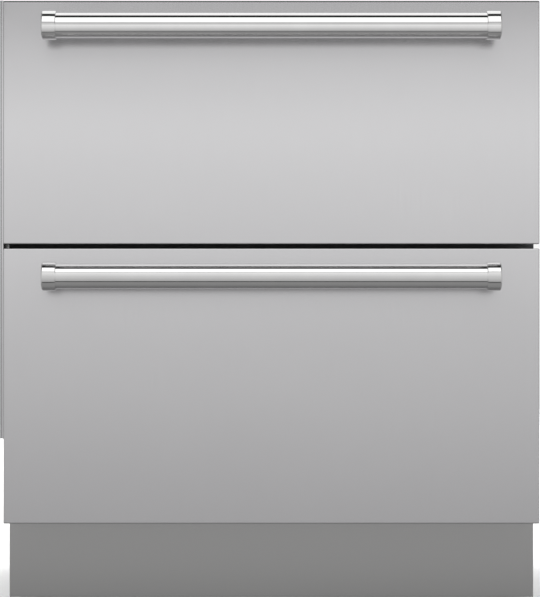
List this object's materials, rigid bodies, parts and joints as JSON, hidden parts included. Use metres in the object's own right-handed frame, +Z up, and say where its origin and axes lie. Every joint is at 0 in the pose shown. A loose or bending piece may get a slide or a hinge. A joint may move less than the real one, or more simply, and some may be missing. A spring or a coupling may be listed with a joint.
{
  "type": "under counter fridge",
  "caption": "Under counter refrigerator with stacked insulated drawers on telescopic slides, brushed stainless fronts, polished tubular handles and a recessed kick plate.",
  "frame": {"origin": "on the floor, at the middle of the width of the drawer fronts and of the whole depth over the handles", "axes": "+Z up, -Y out of the drawer fronts towards the user, +X to the user's right"},
  "size_m": [0.7648, 0.675, 0.8636],
  "materials": {
    "case_sheet": "satin",
    "galvanised_sheet": "satin",
    "insulation_foam": "matte",
    "liner_plastic": "satin",
    "stainless_plain": "satin",
    "front_stainless": "satin",
    "kick_stainless": "satin",
    "dark_painted_sheet": "satin",
    "zinc_screws": "satin",
    "compressor_black": "gloss",
    "black_rubber": "matte",
    "condenser_black": "satin",
    "black_plastic": "matte",
    "grey_plastic": "matte",
    "copper_tube": "satin",
    "fin_aluminium": "satin",
    "light_diffuser": "satin",
    "display_glass": "gloss",
    "slide_steel": "satin",
    "button_metal": "satin",
    "foot_steel": "satin",
    "gasket_rubber": "matte",
    "polished_handle": "polished",
    "polished_handle_end": "polished",
    "tub_plastic": "satin",
    "divider_plastic": "satin"
  },
  "bodies": {
    "cabinet": {"left_side_panel": "case_sheet", "right_side_panel": "case_sheet", "top_panel": "case_sheet", "rear_panel": "galvanised_sheet", "foam_insulation": "insulation_foam", "inner_liner": "liner_plastic", "front_frame": "dark_painted_sheet", "base_pan": "galvanised_sheet", "kick_plate": "kick_stainless", "side_filler_strip": "stainless_plain", "machine_rear_cover": "dark_painted_sheet", "cabinet_screws": "zinc_screws", "compressor": "compressor_black", "compressor_grommets": "black_rubber", "condenser": "condenser_black", "condenser_fan_shroud": "black_plastic", "drain_pan": "black_plastic", "control_box": "grey_plastic", "refrigerant_lines": "copper_tube", "evaporator": "fin_aluminium", "evaporator_fan_motor": "grey_plastic", "evaporator_cover": "liner_plastic", "light_bars": "light_diffuser", "control_panel": "grey_plastic", "display_window": "display_glass", "slide_outers": "slide_steel"},
    "upper_drawer": {"upper_front_skin": "front_stainless", "upper_front_core": "insulation_foam", "upper_front_liner": "liner_plastic", "upper_gasket": "gasket_rubber", "upper_handle_bar": "polished_handle", "upper_handle_end_left": "polished_handle_end", "upper_handle_end_right": "polished_handle_end", "upper_handle_screws": "zinc_screws", "upper_tub": "tub_plastic", "upper_slide_inners": "slide_steel"},
    "upper_slide_middle": {"upper_slide_mids": "slide_steel"},
    "upper_sliding_divider": {"upper_divider": "divider_plastic"},
    "lower_drawer": {"lower_front_skin": "front_stainless", "lower_front_core": "insulation_foam", "lower_front_liner": "liner_plastic", "lower_gasket": "gasket_rubber", "lower_handle_bar": "polished_handle", "lower_handle_end_left": "polished_handle_end", "lower_handle_end_right": "polished_handle_end", "lower_handle_screws": "zinc_screws", "lower_tub": "tub_plastic", "lower_slide_inners": "slide_steel"},
    "lower_slide_middle": {"lower_slide_mids": "slide_steel"},
    "lower_sliding_divider": {"lower_divider": "divider_plastic"},
    "power_button": {"power_button": "button_metal"},
    "warmer_button": {"warmer_button": "button_metal"},
    "cooler_button": {"cooler_button": "button_metal"},
    "light_button": {"light_button": "button_metal"},
    "foot_front_left": {"foot_front_left": "foot_steel"},
    "foot_front_right": {"foot_front_right": "foot_steel"},
    "foot_rear_left": {"foot_rear_left": "foot_steel"},
    "foot_rear_right": {"foot_rear_right": "foot_steel"},
    "condenser_fan": {"condenser_fan_blade": "black_plastic"},
    "evaporator_fan": {"evaporator_fan_blade": "liner_plastic"}
  },
  "joints": [
    {"name": "upper_drawer_slide", "type": "slide", "parent": "cabinet", "child": "upper_drawer", "axis": [0, -1, 0], "range_m": [0, 0.41]},
    {"name": "upper_middle_slide", "type": "slide", "parent": "cabinet", "child": "upper_slide_middle", "axis": [0, -1, 0], "range_m": [0, 0.205]},
    {"name": "upper_divider_slide", "type": "slide", "parent": "upper_drawer", "child": "upper_sliding_divider", "axis": [0, 1, 0], "range_m": [-0.24, 0.14]},
    {"name": "lower_drawer_slide", "type": "slide", "parent": "cabinet", "child": "lower_drawer", "axis": [0, -1, 0], "range_m": [0, 0.41]},
    {"name": "lower_middle_slide", "type": "slide", "parent": "cabinet", "child": "lower_slide_middle", "axis": [0, -1, 0], "range_m": [0, 0.205]},
    {"name": "lower_divider_slide", "type": "slide", "parent": "lower_drawer", "child": "lower_sliding_divider", "axis": [0, 1, 0], "range_m": [-0.24, 0.14]},
    {"name": "power_button_press", "type": "slide", "parent": "cabinet", "child": "power_button", "axis": [0, 1, 0], "range_m": [0, 0.0012], "stiffness_N_per_m": 600},
    {"name": "warmer_button_press", "type": "slide", "parent": "cabinet", "child": "warmer_button", "axis": [0, 1, 0], "range_m": [0, 0.0012], "stiffness_N_per_m": 600},
    {"name": "cooler_button_press", "type": "slide", "parent": "cabinet", "child": "cooler_button", "axis": [0, 1, 0], "range_m": [0, 0.0012], "stiffness_N_per_m": 600},
    {"name": "light_button_press", "type": "slide", "parent": "cabinet", "child": "light_button", "axis": [0, 1, 0], "range_m": [0, 0.0012], "stiffness_N_per_m": 600},
    {"name": "foot_front_left_level", "type": "slide", "parent": "cabinet", "child": "foot_front_left", "axis": [0, 0, 1], "range_m": [-0.025, 0]},
    {"name": "foot_front_right_level", "type": "slide", "parent": "cabinet", "child": "foot_front_right", "axis": [0, 0, 1], "range_m": [-0.025, 0]},
    {"name": "foot_rear_left_level", "type": "slide", "parent": "cabinet", "child": "foot_rear_left", "axis": [0, 0, 1], "range_m": [-0.025, 0]},
    {"name": "foot_rear_right_level", "type": "slide", "parent": "cabinet", "child": "foot_rear_right", "axis": [0, 0, 1], "range_m": [-0.025, 0]},
    {"name": "condenser_fan_spin", "type": "hinge", "parent": "cabinet", "child": "condenser_fan", "pos_m": [-0.21, -0.08153, 0.11285], "axis": [0, 1, 0], "continuous": true},
    {"name": "evaporator_fan_spin", "type": "hinge", "parent": "cabinet", "child": "evaporator_fan", "pos_m": [0, 0.23447, 0.69], "axis": [0, 1, 0], "continuous": true}
  ],
  "couplings": [
    {"joint": "upper_middle_slide", "follows": "upper_drawer_slide", "ratio": 0.5},
    {"joint": "lower_middle_slide", "follows": "lower_drawer_slide", "ratio": 0.5}
  ]
}
